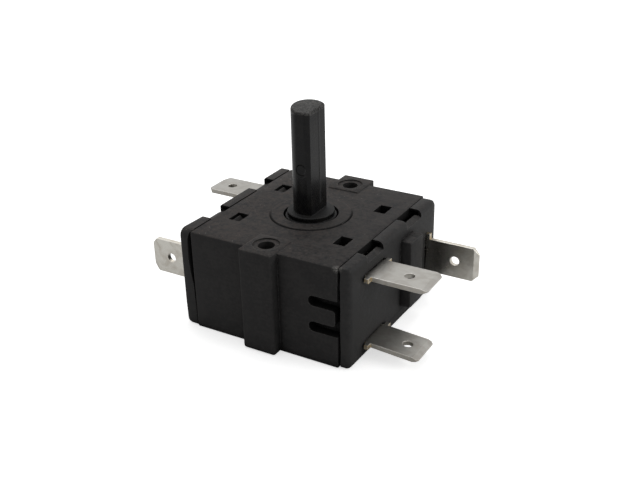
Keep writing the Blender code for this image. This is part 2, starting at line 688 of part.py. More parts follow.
def make_detent_ring():
    """A ring with a notch for each position, keyed into the two screw columns."""
    key = DETENT_KEY_WIDTH / 2
    key_y = DETENT_RING_OUTER + DETENT_KEY_DEPTH
    root_y = math.sqrt(DETENT_RING_OUTER ** 2 - key ** 2)
    start = math.degrees(math.atan2(root_y, key))
    back = [(key, key_y)] + [(-key, key_y)] + arc((0, 0), DETENT_RING_OUTER, 180 - start, 180 + start, 24)
    front = [(-x, -y) for x, y in back]
    notch_radius = BALL_RADIUS + RUNNING_FIT
    step = 360 / DETENT_POSITIONS
    # where a notch's arc meets the ring's inner circle, seen from the ring's centre and from the arc's
    ring = DETENT_RING_INNER
    half = math.acos((ring ** 2 + BALL_Y ** 2 - notch_radius ** 2) / (2 * ring * BALL_Y))
    lean = math.degrees(math.asin(ring * math.sin(half) / notch_radius))
    half = math.degrees(half)
    inner = []
    for position in range(DETENT_POSITIONS):
        angle = position * step
        inner += arc((0, 0), ring, angle + half - step, angle - half, 2)
        centre = (BALL_Y * math.cos(math.radians(angle)), BALL_Y * math.sin(math.radians(angle)))
        inner += arc(centre, notch_radius, angle - lean, angle + lean, 6)[1:-1]
    half_height = DETENT_RING_HEIGHT / 2
    ring = prism("detent_ring", [back + front, inner], DETENT_Z - half_height, DETENT_Z + half_height)
    finish_part(ring, "nylon")


def blade_strip(blade):
    """The strip's edge: a tapered tip, a straight blade that may droop, and a leg bent down inside."""
    t = BLADE_THICKNESS
    bend_x = CAP_OUTER_X + FIT
    tip = blade["tip"]
    fall = -math.tan(math.radians(blade.get("droop", 0.0)))
    start_taper = tip - BLADE_TIP_TAPER_LENGTH
    # the strip runs a little past the tip, and the outline trims it there
    over = FIT
    taper = BLADE_TIP_TAPER * (1 + over / BLADE_TIP_TAPER_LENGTH)

    def lowered(x, w):
        return (x, w - max(0.0, x - bend_x) * fall)

    leg_outer_x = LEG_INNER_X + t
    end = -blade["leg_length"]
    inside = arc((LEG_INNER_X + t + BEND_RADIUS, -t - BEND_RADIUS), BEND_RADIUS + t, 90, 180, 4)
    corner = arc((leg_outer_x + BEND_RADIUS, -t - BEND_RADIUS), BEND_RADIUS, 180, 90, 3)
    return (
        [lowered(tip + over, -taper), lowered(start_taper, 0), (bend_x, 0)] + inside
        + [(LEG_INNER_X, end), (leg_outer_x, end)] + corner
        + [(bend_x, -t), lowered(start_taper, -t), lowered(tip + over, -t + taper)])


def blade_outline(blade):
    """The strip seen flat: tip, blade, shoulders, neck and the leg's width."""
    half = BLADE_WIDTH / 2
    shoulder = SHOULDER_WIDTH / 2
    seat = CAP_OUTER_X + FIT
    tip = blade["tip"]
    centre = blade["across"]
    low, high = blade["leg_span"]
    corner = blade.get("corner", BLADE_CORNER)
    over = BLADE_THICKNESS
    points = [
        (tip, centre - half + corner), (tip, centre + half - corner), (tip - corner, centre + half),
        (seat + SHOULDER_DEPTH, centre + half), (seat + SHOULDER_DEPTH, centre + shoulder),
        (seat, centre + shoulder), (seat, centre + half)]
    points += neck_side(centre + half, high)
    points += [(LEG_INNER_X - over, high), (LEG_INNER_X - over, low)]
    points += neck_side(centre - half, low)[::-1]
    points += [
        (seat, centre - half), (seat, centre - shoulder), (seat + SHOULDER_DEPTH, centre - shoulder),
        (seat + SHOULDER_DEPTH, centre - half), (tip - corner, centre - half)]
    return [points, circle((blade["hole"], centre), BLADE_HOLE_RADIUS, 20)]


def neck_side(neck, leg):
    """The step between the neck's edge and the leg's edge, just inside the cap."""
    if math.isclose(neck, leg, abs_tol=FIT / 10):
        return []
    return [(NECK_END_X, neck), (NECK_END_X, leg)]


def make_terminal(blade):
    """The bent strip is the part that its edge shape and its flat outline share."""
    name = blade["name"]
    half = SHOULDER_WIDTH + abs(blade["across"]) + BLADE_WIDTH
    strip = prism(name, [blade_strip(blade)], -half, half)
    strip.data.transform(Matrix.Rotation(QUARTER_TURN, 4, "X"))
    deep = blade["leg_length"] + BLADE_WIDTH
    outline = prism(name + "_outline", blade_outline(blade), -deep, deep)
    combine(strip, finish_cutter(outline, strip), "INTERSECT")
    for number, (across, down) in enumerate(blade["contacts"]):
        cut(strip, rod(
            "%s_rivet_hole_%d" % (name, number), CONTACT_SHANK_RADIUS + FIT, BLADE_THICKNESS * 4,
            (LEG_INNER_X + BLADE_THICKNESS / 2, across, down), (0, QUARTER_TURN, 0), 16))
    strip.matrix_world = blade["place"]
    finish_part(strip, "tinned_brass")


def make_contact(name, place, parent=None, tail=0.0):
    """A rivet with a domed head that looks along +Z, its apex at the origin."""
    dome_edge = CONTACT_DOME
    profile = [(0, 0)]
    profile += [(CONTACT_RADIUS * share, -dome_edge * share * share) for share in CONTACT_DOME_RINGS]
    profile += [
        (CONTACT_RADIUS, -CONTACT_HEAD), (CONTACT_SHANK_RADIUS, -CONTACT_HEAD),
        (CONTACT_SHANK_RADIUS, -CONTACT_HEAD - tail), (0, -CONTACT_HEAD - tail)]
    rivet = turned(name, profile, CONTACT_STEPS)
    rivet.matrix_world = place
    finish_part(rivet, "silver", parent)


def make_bridge(name, side, level, axis):
    """A contact bridge in its pocket, with a contact at each end."""
    half_y = BRIDGE_WIDTH / 2
    half_z = BRIDGE_HEIGHT / 2
    outline = [rectangle((-half_y, -half_z), (half_y, half_z), BRIDGE_CORNER)]
    for y in (-CONTACT_Y, CONTACT_Y):
        outline.append(circle((y, 0), CONTACT_SHANK_RADIUS + FIT, 16))
    bridge = prism(name, outline, -BRIDGE_THICKNESS, 0)
    # the outline's thickness points outward along X
    face_out = Matrix.Rotation(0 if side > 0 else HALF_TURN, 4, "Z")
    face_out = face_out @ Matrix.Rotation(QUARTER_TURN, 4, "Z") @ Matrix.Rotation(QUARTER_TURN, 4, "X")
    bridge.matrix_world = Matrix.Translation((side * BRIDGE_OUTER_X, 0, level)) @ face_out
    finish_part(bridge, "brass", axis)
    tail = FIT + BRIDGE_THICKNESS
    for label, y in (("front", -CONTACT_Y), ("back", CONTACT_Y)):
        place = Matrix.Translation((side * MOVING_CONTACT_FACE_X, y, level)) @ face_out
        make_contact("%s_contact_%s" % (name, label), place, axis, tail)


def make_spring(name, start, end, direction, parent):
    """A coil between two distances from the shaft's axis, along a direction."""
    length = end - start
    curve = bpy.data.curves.new(name, "CURVE")
    curve.dimensions = "3D"
    curve.bevel_depth = SPRING_WIRE_RADIUS
    curve.bevel_resolution = 2
    curve.use_fill_caps = True
    steps = SPRING_TURNS * SPRING_STEPS
    spline = curve.splines.new("POLY")
    spline.points.add(steps)
    pitch_length = length - SPRING_WIRE_RADIUS * 2
    for step, point in enumerate(spline.points):
        angle = 2 * math.pi * SPRING_TURNS * step / steps
        along = SPRING_WIRE_RADIUS + pitch_length * step / steps
        point.co = (SPRING_RADIUS * math.cos(angle), SPRING_RADIUS * math.sin(angle), along, 1)
    spring = bpy.data.objects.new(name, curve)
    aim = Vector((0, 0, 1)).rotation_difference(direction["aim"]).to_matrix().to_4x4()
    origin = direction["aim"] * start + Vector((0, 0, direction["level"]))
    spring.matrix_world = Matrix.Translation(origin) @ aim
    finish_part(spring, "steel", parent)


def make_ball(name, side, axis):
    bm = bmesh.new()
    bmesh.ops.create_uvsphere(bm, u_segments=20, v_segments=12, radius=BALL_RADIUS)
    ball = object_from_bmesh(name, bm)
    ball.location = (0, side * BALL_Y, DETENT_Z)
    finish_part(ball, "steel", axis)


def terminal_list():
    """Each blade in its cap's own frame. Flat ones bend about Y, upright ones are turned on edge."""
    right = Matrix.Identity(4)
    left = Matrix.Rotation(HALF_TURN, 4, "Z")
    leg = (-CONTACT_Y - BLADE_WIDTH * LEG_SPREAD[0], -CONTACT_Y + BLADE_WIDTH * LEG_SPREAD[1])
    leg_end = CONTACT_RADIUS + FIT

    def flat(name, side, across, top, reach, hole, level, **more):
        """A flat blade whose leg bends down, or up when its contact lies above it."""
        upward = level > top
        way = -1 if upward else 1
        bend_z = top - BLADE_THICKNESS if upward else top
        rise = abs(bend_z - level)
        spans = sorted((way * leg[0], way * leg[1]))
        roll = Matrix.Rotation(HALF_TURN if upward else 0, 4, "X")
        return dict(
            name=name, across=way * across, slot_y=across, top=top, leg_span=spans,
            tip=CAP_OUTER_X + reach, hole=CAP_OUTER_X + hole,
            leg_length=rise + leg_end, contacts=[(-way * CONTACT_Y, -rise)],
            place=side @ Matrix.Translation((0, 0, bend_z)) @ roll, **more)

    def upright(name, side, middle, near_y, reach, hole, levels):
        """A blade on edge whose leg bends towards the middle; its own Y runs downward."""
        depth = near_y + BLADE_THICKNESS
        roll = Matrix.Rotation(-QUARTER_TURN, 4, "X")
        return dict(
            name=name, across=-middle, slot_z=middle, near_y=near_y,
            tip=CAP_OUTER_X + reach, hole=CAP_OUTER_X + hole,
            leg_span=(-max(levels) - leg_end, -min(levels) + leg_end),
            leg_length=depth - CONTACT_Y + leg_end,
            contacts=[(-level, CONTACT_Y - depth) for level in levels],
            place=side @ Matrix.Translation((0, depth, 0)) @ roll)

    both = (UPPER_CONTACT_Z, LOWER_CONTACT_Z)
    middle = HOUSING_HEIGHT / 2
    return {
        "right_flat": [
            flat("terminal_right_upper", right, RIGHT_UPPER_Y, HOUSING_HEIGHT - RIGHT_UPPER_DROP,
                 RIGHT_UPPER_REACH, RIGHT_HOLE_REACH, UPPER_CONTACT_Z, corner=SQUARE_CORNER),
            flat("terminal_right_lower", right, RIGHT_LOWER_Y, RIGHT_LOWER_TOP,
                 RIGHT_LOWER_REACH, RIGHT_HOLE_REACH, LOWER_CONTACT_Z,
                 droop=BROKEN_DROOP, corner=BROKEN_CORNER)],
        "right_upright": upright(
            "terminal_right_rear", right, middle - RIGHT_REAR_DROP, INNER_Y - RIGHT_REAR_INSET,
            RIGHT_REAR_REACH, RIGHT_REAR_HOLE_REACH, both),
        "left_flat": [
            flat("terminal_left_rear", left, LEFT_REAR_Y, HOUSING_HEIGHT - LEFT_REAR_DROP,
                 LEFT_REACH, LEFT_REAR_HOLE_REACH, UPPER_CONTACT_Z)],
        "left_upright": upright(
            "terminal_left_front", left, middle + LEFT_FRONT_RISE, INNER_Y - LEFT_FRONT_INSET,
            LEFT_REACH, LEFT_FRONT_HOLE_REACH, both[:1]),
    }


def make_fixed_contacts():
    """One contact rivet through each terminal's leg, facing the drum."""
    tail = FIT + BLADE_THICKNESS + CONTACT_TAIL
    face_in = Matrix.Rotation(-QUARTER_TURN, 4, "Z") @ Matrix.Rotation(QUARTER_TURN, 4, "X")
    spots = (
        ("right_upper", 0, -CONTACT_Y, UPPER_CONTACT_Z),
        ("right_lower", 0, -CONTACT_Y, LOWER_CONTACT_Z),
        ("right_rear_upper", 0, CONTACT_Y, UPPER_CONTACT_Z),
        ("right_rear_lower", 0, CONTACT_Y, LOWER_CONTACT_Z),
        ("left_rear", HALF_TURN, -CONTACT_Y, UPPER_CONTACT_Z),
        ("left_front", HALF_TURN, CONTACT_Y, UPPER_CONTACT_Z))
    for label, turn, y, level in spots:
        seat = Matrix.Translation((FIXED_CONTACT_FACE_X, y, level)) @ face_in
        make_contact("fixed_contact_" + label, Matrix.Rotation(turn, 4, "Z") @ seat, None, tail)


def main():
    axis = bpy.data.objects.new("shaft_axis", None)
    PARTS.objects.link(axis)
    make_housing()
    make_base_cover()
    blades = terminal_list()
    end_cap(
        "end_cap_right", 0, RIGHT_CAP_ROLL, RIGHT_HOOK_SINK, blades["right_flat"], blades["right_upright"])
    end_cap(
        "end_cap_left", HALF_TURN, LEFT_CAP_ROLL, LEFT_HOOK_SINK, blades["left_flat"], blades["left_upright"])
    for blade in blades["right_flat"] + blades["left_flat"]:
        make_terminal(blade)
    make_terminal(blades["right_upright"])
    make_terminal(blades["left_upright"])
    make_fixed_contacts()
    rotor = make_rotor(axis)
    smooth(rotor)
    make_thrust_washer(axis)
    make_detent_ring()
    make_bridge("upper_bridge", 1, UPPER_CONTACT_Z, axis)
    make_bridge("lower_bridge", -1, LOWER_CONTACT_Z, axis)
    bridge_back = BRIDGE_OUTER_X - BRIDGE_THICKNESS
    for name, way, level in (("upper", 1, UPPER_CONTACT_Z), ("lower", -1, LOWER_CONTACT_Z)):
        make_spring(name + "_bridge_spring", POCKET_FLOOR_X + FIT, bridge_back - FIT,
                    {"aim": Vector((way, 0, 0)), "level": level}, axis)
    for name, way in (("front", -1), ("back", 1)):
        make_ball("detent_ball_" + name, way, axis)
        make_spring("detent_spring_" + name, BORE_FLOOR_Y + FIT, BALL_Y - BALL_RADIUS - FIT,
                    {"aim": Vector((0, way, 0)), "level": DETENT_Z}, axis)


main()
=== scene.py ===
# %% [markdown]
# # A rotary selector switch, dressed for the camera
# The switch sits behind the front of a small appliance and picks one of several circuits. A black
# moulded housing is closed by two end caps, five push-on blades stand out of the caps, and a shaft
# with a flat on it takes the knob. The CAD model brings every piece in metres, at its own place. This
# lesson gives the pieces rounded edges and true finishes, bends the caps as use has bent them, and
# lights the whole.

# %% Load the frame
import math

import bmesh
import bpy
from mathutils import Matrix, Vector


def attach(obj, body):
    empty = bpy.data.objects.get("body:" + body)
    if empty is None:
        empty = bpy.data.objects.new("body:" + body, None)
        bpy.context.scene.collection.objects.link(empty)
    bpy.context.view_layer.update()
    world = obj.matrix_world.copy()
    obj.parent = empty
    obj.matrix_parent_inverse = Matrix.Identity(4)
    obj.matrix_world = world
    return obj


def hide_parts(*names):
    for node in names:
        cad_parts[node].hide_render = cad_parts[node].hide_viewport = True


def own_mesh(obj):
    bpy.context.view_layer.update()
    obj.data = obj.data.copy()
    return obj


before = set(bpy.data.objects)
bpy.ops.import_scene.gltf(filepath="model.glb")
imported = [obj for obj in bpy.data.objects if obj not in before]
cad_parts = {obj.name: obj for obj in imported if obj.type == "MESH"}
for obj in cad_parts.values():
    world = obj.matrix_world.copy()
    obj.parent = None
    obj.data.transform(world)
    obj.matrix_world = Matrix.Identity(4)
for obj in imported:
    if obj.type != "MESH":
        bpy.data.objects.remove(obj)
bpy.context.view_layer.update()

MM = 0.001
SCENE = bpy.context.scene

# %% [markdown]
# ## The camera
# The photograph looks at the front right corner from a little above. A camera could be aimed by eye, but
# then no edge would fall quite where it does in the photograph. So the directions of the camera's own
# axes are worked out from three angles that were fitted to the corners of the body: its bearing, its
# height above the horizon and a slight tilt to one side.

# %% Stand the camera where the photographer stood
CAMERA_PLACE = Vector((74.38, -122.26, 82.38)) * MM
BEARING = math.radians(30.749)
HEIGHT = math.radians(25.917)
TILT = math.radians(-1.28)
SENSOR_WIDTH = 36
FOCAL_LENGTH = 51.62
NEAREST, FARTHEST = 0.01, 20

level = Vector((math.cos(BEARING), math.sin(BEARING), 0))
outward = Vector((math.sin(BEARING), -math.cos(BEARING), 0))
back = math.cos(HEIGHT) * outward + Vector((0, 0, math.sin(HEIGHT)))
upright = back.cross(level)
across = math.cos(TILT) * level + math.sin(TILT) * upright
upward = math.cos(TILT) * upright - math.sin(TILT) * level
turn = Matrix((across, upward, back)).transposed().to_4x4()

camera = bpy.data.objects.new("photo_camera", bpy.data.cameras.new("photo_camera"))
SCENE.collection.objects.link(camera)
camera.data.sensor_width = SENSOR_WIDTH
camera.data.lens = FOCAL_LENGTH
camera.data.clip_start = NEAREST
camera.data.clip_end = FARTHEST
camera.matrix_world = Matrix.Translation(CAMERA_PLACE) @ turn
SCENE.camera = camera
SCENE.view_settings.view_transform = "Standard"
print("camera distance in mm:", round(CAMERA_PLACE.length / MM))

# %% [markdown]
# ## Shader maths that reads as Python
# A finish is worked out from a few patterns, such as a grain, a smudge and a mask for the edges. Wiring
# each sum by hand hides what it says. One small class wraps a socket instead, so that `1 - mask` adds
# the Math node that it needs.

# %% A socket that can be added and multiplied
class Wire:
    def __init__(self, look, socket):
        self.look = look
        self.socket = socket

    def sum(self, operation, first, second, clamp=False):
        settings = {"operation": operation, "use_clamp": clamp}
        return self.look.node("ShaderNodeMath", settings, {0: first, 1: second})

    def __add__(self, other):
        return self.sum("ADD", self, other)

    def __sub__(self, other):
        return self.sum("SUBTRACT", self, other)

    def __rsub__(self, other):
        return self.sum("SUBTRACT", other, self)

    def __mul__(self, other):
        return self.sum("MULTIPLY", self, other)

    def __pow__(self, other):
        return self.sum("POWER", self, other)

    def __abs__(self):
        return self.sum("ABSOLUTE", self, 0.0)

    def clamped(self):
        return self.sum("ADD", self, 0.0, clamp=True)

    __radd__ = __add__
    __rmul__ = __mul__


# %% [markdown]
# A material and a world are both trees of nodes, so one class serves both. Its `node` makes a node, sets
# it up and fills its sockets in one call. The same tree could be clicked together in the editor, but
# calls can be read from top to bottom. Colours go through a Mix node, whose colour sockets only have
# numbers.

# %% A look: one material or world, and the method that makes its nodes
MIX_AMOUNT, MIX_FIRST, MIX_SECOND, MIX_RESULT = 0, 6, 7, 2


class Look:
    def __init__(self, owner):
        self.owner = owner
        owner.use_nodes = True
        self.tree = owner.node_tree

    def node(self, kind, settings=None, sockets=None, out=0):
        made = self.tree.nodes.new(kind)
        for name, value in (settings or {}).items():
            setattr(made, name, value)
        for name, value in (sockets or {}).items():
            self.put(made.inputs[name], value)
        return Wire(self, made.outputs[out]) if made.outputs else made

    def put(self, socket, value):
        if isinstance(value, Wire):
            self.tree.links.new(value.socket, socket)
        elif socket.type == "RGBA":
            socket.default_value = (*value, 1.0)
        else:
            socket.default_value = value

    def blend(self, amount, first, second):
        sockets = {MIX_AMOUNT: amount, MIX_FIRST: first, MIX_SECOND: second}
        return self.node("ShaderNodeMix", {"data_type": "RGBA"}, sockets, out=MIX_RESULT)

    def ease(self, value, low, high, start=0.0, end=1.0):
        """Goes smoothly from start to end while the value goes from low to high."""
        sockets = {"Value": value, "From Min": low, "From Max": high, "To Min": start, "To Max": end}
        return self.node("ShaderNodeMapRange", {"interpolation_type": "SMOOTHSTEP"}, sockets)

    def vectors(self, operation, first, second=(0, 0, 0), out="Vector"):
        sockets = {0: first, 1: second}
        return self.node("ShaderNodeVectorMath", {"operation": operation}, sockets, out=out)


# %% [markdown]
# ## Patterns in millimetres
# Every pattern is laid out in the part's own millimetres, so a grain of a tenth of a millimetre is the
# same on the housing and on the shaft. A painted texture would need every surface unwrapped first. A
# pattern in space needs nothing, and it runs on round the edges. A stretched copy of the place gives
# drag lines and rolling lines, and a mask picks out the places near a spot or inside a box.

# %% Place, noise, specks and masks
SPECK_CORE = 0.4
CHANCE_STEP = 0.02
EDGE_GAIN = 8
OPEN_SHARE, SHUT_SHARE = 0.62, 0.42
BEVEL_SAMPLES = 6
SHADE_SAMPLES = 4
BOX_BLUR = 0.08


class Finish(Look):
    def __init__(self, name):
        super().__init__(bpy.data.materials.new(name))
        self.shader = self.tree.nodes["Principled BSDF"]
        spot = self.node("ShaderNodeTexCoord", out="Object")
        self.place = self.stretched((1 / MM, 1 / MM, 1 / MM), spot)

    def stretched(self, scale, place=None):
        return self.vectors("MULTIPLY", place or self.place, scale)

    def noise(self, per_mm, detail=3.0, place=None, roughness=0.55, warp=0.0):
        sockets = {
            "Vector": place or self.place, "Scale": per_mm, "Detail": detail,
            "Roughness": roughness, "Distortion": warp}
        return self.node("ShaderNodeTexNoise", None, sockets, out="Fac")

    def split(self, vector):
        return [self.node("ShaderNodeSeparateXYZ", None, {0: vector}, out=axis) for axis in range(3)]

    def facing(self):
        return self.split(self.node("ShaderNodeNewGeometry", out="Normal"))

    def specks(self, per_mm, size, share):
        """Round specks in a share of the cells of a pattern."""
        sockets = {"Vector": self.place, "Scale": per_mm}
        distance, chance = [
            self.node("ShaderNodeTexVoronoi", None, sockets, out=out) for out in ("Distance", "Color")]
        chosen = self.ease(self.split(chance)[0], 1 - share, 1 - share + CHANCE_STEP)
        return self.ease(distance, size, size * SPECK_CORE) * chosen

    def edges(self, radius):
        """The normal as if each edge were rounded, and a mask of where it differs from the flat one."""
        rounded = self.node("ShaderNodeBevel", {"samples": BEVEL_SAMPLES}, {"Radius": radius * MM})
        flat = self.node("ShaderNodeNewGeometry", out="Normal")
        same = self.vectors("DOT_PRODUCT", rounded, flat, out="Value")
        return rounded, (EDGE_GAIN * (1 - same)).clamped()

    def hidden(self, reach):
        """A mask of the places that little light gets into, such as slots and holes."""
        settings = {"samples": SHADE_SAMPLES}
        open_share = self.node("ShaderNodeAmbientOcclusion", settings, {"Distance": reach * MM}, out="AO")
        return self.ease(open_share, OPEN_SHARE, SHUT_SHARE)

    def away_from(self, spot):
        """The way from a spot to the place, and its length."""
        way = self.vectors("SUBTRACT", self.place, tuple(spot))
        return way, self.vectors("LENGTH", way, out="Value")

    def in_box(self, places, middle, half):
        """A mask of a box, from the three places, the box's middle and half its size."""
        x, y, z = [
            self.ease(abs(place - centre), reach, reach - BOX_BLUR)
            for place, centre, reach in zip(places, middle, half)]
        return x * y * z

    def bump(self, height, depth, normal):
        """A relief of a depth in millimetres."""
        sockets = {"Strength": 1.0, "Distance": depth * MM, "Height": height, "Normal": normal}
        return self.node("ShaderNodeBump", None, sockets)

    def wear(self, **sockets):
        """Sets the shader's sockets by name, with _ for a space, and gives the material back."""
        for name, value in sockets.items():
            self.put(self.shader.inputs[name.replace("_", " ")], value)
        print(self.owner.name, "has", len(self.tree.nodes), "nodes")
        return self.owner


# %% [markdown]
# ## The room
# A switch like this is photographed on a white sweep under soft lamps. Where the camera sees the world
# it is plain white, and so it is in reflections. A world that also lit the switch that strongly would
# wash out its blacks, so on the object it is only a soft fill.

# %% The world
FILL = 0.42
WHITE = (1, 1, 1)

room = Look(bpy.data.worlds.new("white_room"))
SCENE.world = room.owner
room.tree.nodes.clear()
seen, mirrored, passed = [
    room.node("ShaderNodeLightPath", out=ray)
    for ray in ("Is Camera Ray", "Is Glossy Ray", "Is Transmission Ray")]
strength = (seen + mirrored + passed).clamped() * (1 - FILL) + FILL
sky = room.node("ShaderNodeBackground", None, {"Color": WHITE, "Strength": strength})
room.node("ShaderNodeOutputWorld", None, {"Surface": sky})
print("world fill on the object:", FILL)

# %% [markdown]
# The floor is a pale sheet. A sheet is only as white as the light that falls on it, and its far edge
# would show against the white world. So it adds a little light of its own, which only the camera sees,
# and it fades into the white without lighting the switch from below.

# %% The floor
FLOOR_HALF = 1.5
FLOOR_LEVEL = -0.02 * MM
FLOOR_COLOUR = (0.86, 0.86, 0.86)
FLOOR_LIFT = 0.62

floor_mesh = bpy.data.meshes.new("floor")
corners = [
    (x * FLOOR_HALF, y * FLOOR_HALF, FLOOR_LEVEL) for x, y in ((-1, -1), (1, -1), (1, 1), (-1, 1))]
floor_mesh.from_pydata(corners, [], [(0, 1, 2, 3)])
floor = bpy.data.objects.new("floor", floor_mesh)
SCENE.collection.objects.link(floor)

sheet = Look(bpy.data.materials.new("pale_sheet"))
sheet.tree.nodes.clear()
matt = sheet.node("ShaderNodeBsdfDiffuse", None, {"Color": FLOOR_COLOUR})
camera_ray = sheet.node("ShaderNodeLightPath", out="Is Camera Ray")
lift = sheet.node("ShaderNodeEmission", None, {"Color": WHITE, "Strength": camera_ray * FLOOR_LIFT})
both = sheet.node("ShaderNodeAddShader", None, {0: matt, 1: lift})
sheet.node("ShaderNodeOutputMaterial", None, {"Surface": both})
floor_mesh.materials.append(sheet.owner)
print("floor half width in m:", FLOOR_HALF)

# %% [markdown]
# Two round lamps, one overhead and one at the right, stand in for the photographer's softboxes. Small
# lamps would draw hard shadows that the photograph doesn't have, so both are wide. Their strength
# brings the light to about the level at which a colour renders as it is written.

# %% The lamps
LAMP_AIM = Vector((0, 0, 10)) * MM


def soft_lamp(name, place, size, watts):
    lamp = bpy.data.lights.new(name, "AREA")
    lamp.shape = "DISK"
    lamp.size = size
    lamp.energy = watts
    holder = bpy.data.objects.new(name, lamp)
    SCENE.collection.objects.link(holder)
    holder.location = place
    aim = LAMP_AIM - Vector(place)
    holder.rotation_euler = aim.to_track_quat("-Z", "Y").to_euler()
    print(name, watts, "W at", round(aim.length, 2), "m")


soft_lamp("overhead_lamp", (-0.10, 0.12, 0.42), size=0.34, watts=0.87)
soft_lamp("side_lamp", (0.38, 0.09, 0.18), size=0.26, watts=0.64)


# %% [markdown]
# ## Black moulding compound
# The housing and the caps are moulded from a filled black compound. New it is dull and even. A used one
# has a cloudy surface with faint drag marks, dust on the faces that look up, and edges rubbed grey.
# Painted shade darkens the places that little light reaches: the slots, the latch windows, the caps'
# notches and the front of the raised disc's foot, where its step casts a shadow. The four windows,
# notches and snap slots mirror each other, so one box placed by abs(x) and abs(y) stands for all four.

# %% Where shade is painted into the recesses
DISC_FOOT = 6.98
NOTCH_MIDDLE = 7.0
NOTCH_HALF = 2.7
NOTCH_LEVEL = 15.6
WALL_X = 13.8
POCKET_END_X = 14.95
WINDOW_MIDDLE = (10.1, 7.05, 16.0)
WINDOW_HALF = (1.3, 1.75, 1.93)
SLOT_MIDDLE = (11.2, 14.9, 8.0)
SLOT_HALF = (2.72, 0.86, 7.0)
HOLE_REACH = 2.2
FRONT_X, FRONT_Y = 0.5, -0.86


def painted_recess_shade(look, up):
    x, y, z = look.split(look.place)
    quarter = (abs(x), abs(y), z)
    sideways = abs(look.facing()[1])

    from_axis = (x * x + y * y) ** 0.5
    # Painted shadow: a dark line along the front of the raised disc's foot, on the front side only.
    toward_front = look.ease(FRONT_X * x + FRONT_Y * y, -2.5, 2.0)
    disc_foot_shadow = look.ease(abs(from_axis - DISC_FOOT), 0.25, 0.11) * up * toward_front

    in_notch = look.ease(abs(quarter[1] - NOTCH_MIDDLE), NOTCH_HALF + 0.15, NOTCH_HALF + 0.05)
    in_notch = in_notch * look.ease(z, NOTCH_LEVEL, NOTCH_LEVEL + 0.6)
    in_notch = in_notch * look.ease(quarter[0], WALL_X, WALL_X + 0.05)
    pocket = look.ease(quarter[0], POCKET_END_X, POCKET_END_X - 0.1)
    notch_wall = (look.ease(sideways, 0.5, 0.8) + pocket).clamped()
    notch = in_notch * notch_wall * (1 - up)

    window = (1 - up) * look.in_box(quarter, WINDOW_MIDDLE, WINDOW_HALF)
    slot = look.ease(sideways, 0.9, 0.7) * look.in_box(quarter, SLOT_MIDDLE, SLOT_HALF)
    # Painted shade: the occlusion mask, the disc's foot and the notch, window and slot boxes are all
    # darkened.
    recess_shade = look.hidden(HOLE_REACH) + disc_foot_shadow + 0.85 * (notch + window) + 0.7 * slot
    return recess_shade.clamped()


# %% [markdown]
# A darker and a lighter black could be painted on, but no two switches wear alike. Here they are mixed
# by three noises, two of which also move the roughness. On the walls the mix is damped, since only the
# upper faces look cloudy. More dust lies on the left side of the top, and the front right corner is
# scuffed pale.

# %% The compound
RUBBED_BLACK = (0.17, 0.165, 0.16)
BROWN_FILM = (0.050, 0.041, 0.037)
DUST = (0.20, 0.19, 0.18)
# Painted shade: the near black that the recesses are darkened to.
RECESS_SHADE_BLACK = (0.0012, 0.0012, 0.0012)
SCUFF = (0.26, 0.25, 0.235)
SCUFFED_CORNER = (13.8, -15.7, 18.0)
WALL_MOTTLE = 0.35


def moulded_black(name, dark, light, dull, dust_share):
    look = Finish(name)
    clouds = look.noise(per_mm=0.28, detail=5.0, warp=0.6)
    mottle = look.noise(per_mm=1.7, detail=4.0, roughness=0.65)
    grain = look.noise(per_mm=9.0, detail=2.0)
    drags = look.noise(per_mm=1.0, detail=3.0, place=look.stretched((0.35, 3.2, 3.2)))
    up = look.ease(look.facing()[2], 0.6, 0.9)
    rounded, edge = look.edges(0.14)

    shade = look.ease(clouds * 0.4 + mottle * 0.45 + drags * 0.15, 0.40, 0.62)
    shade = 0.5 + (shade - 0.5) * (WALL_MOTTLE + (1 - WALL_MOTTLE) * up)
    colour = look.blend(shade, dark, light)
    rub = look.ease(look.noise(per_mm=2.6, detail=3.0), 0.42, 0.70)
    colour = look.blend(edge * (0.2 + 0.8 * rub) * 0.8, colour, RUBBED_BLACK)

    crumbs = look.specks(per_mm=1.25, size=0.16, share=0.12)
    dust = (crumbs + look.specks(per_mm=2.9, size=0.20, share=0.10)).clamped()
    film = look.ease(look.noise(per_mm=1.1, detail=6.0, roughness=0.8, warp=1.0), 0.42, 0.60)
    dusty = dust_share * up * look.ease(look.split(look.place)[0], 14.0, -8.0, 0.45, 1.0)
    colour = look.blend(film * dusty, colour, BROWN_FILM)
    colour = look.blend(dust * dusty, colour, DUST)

    # Painted shade in the recesses, blended to near black; the same mask also roughens them.
    recess_shade = painted_recess_shade(look, up)
    colour = look.blend(recess_shade, colour, RECESS_SHADE_BLACK)
    _, away = look.away_from(SCUFFED_CORNER)
    scuff = look.ease(away, 1.1, 0.1) * look.ease(grain, 0.40, 0.60)
    colour = look.blend(scuff * 0.8, colour, SCUFF)

    roughness = dull + 0.5 * (mottle - 0.5) + 0.4 * (clouds - 0.5) + 0.1 * grain + 0.3 * recess_shade
    relief = 0.45 * grain + 0.55 * mottle
    return look.wear(
        Base_Color=colour, Roughness=roughness.clamped(), Specular_IOR_Level=0.08,
        Normal=look.bump(relief, 0.022, rounded))


housing_black = moulded_black(
    "housing_black", dark=(0.0095, 0.0094, 0.0099), light=(0.0385, 0.0368, 0.0358),
    dull=0.56, dust_share=0.80)
cap_black = moulded_black(
    "cap_black", dark=(0.0142, 0.0143, 0.0149), light=(0.0375, 0.0366, 0.0356),
    dull=0.48, dust_share=0.60)
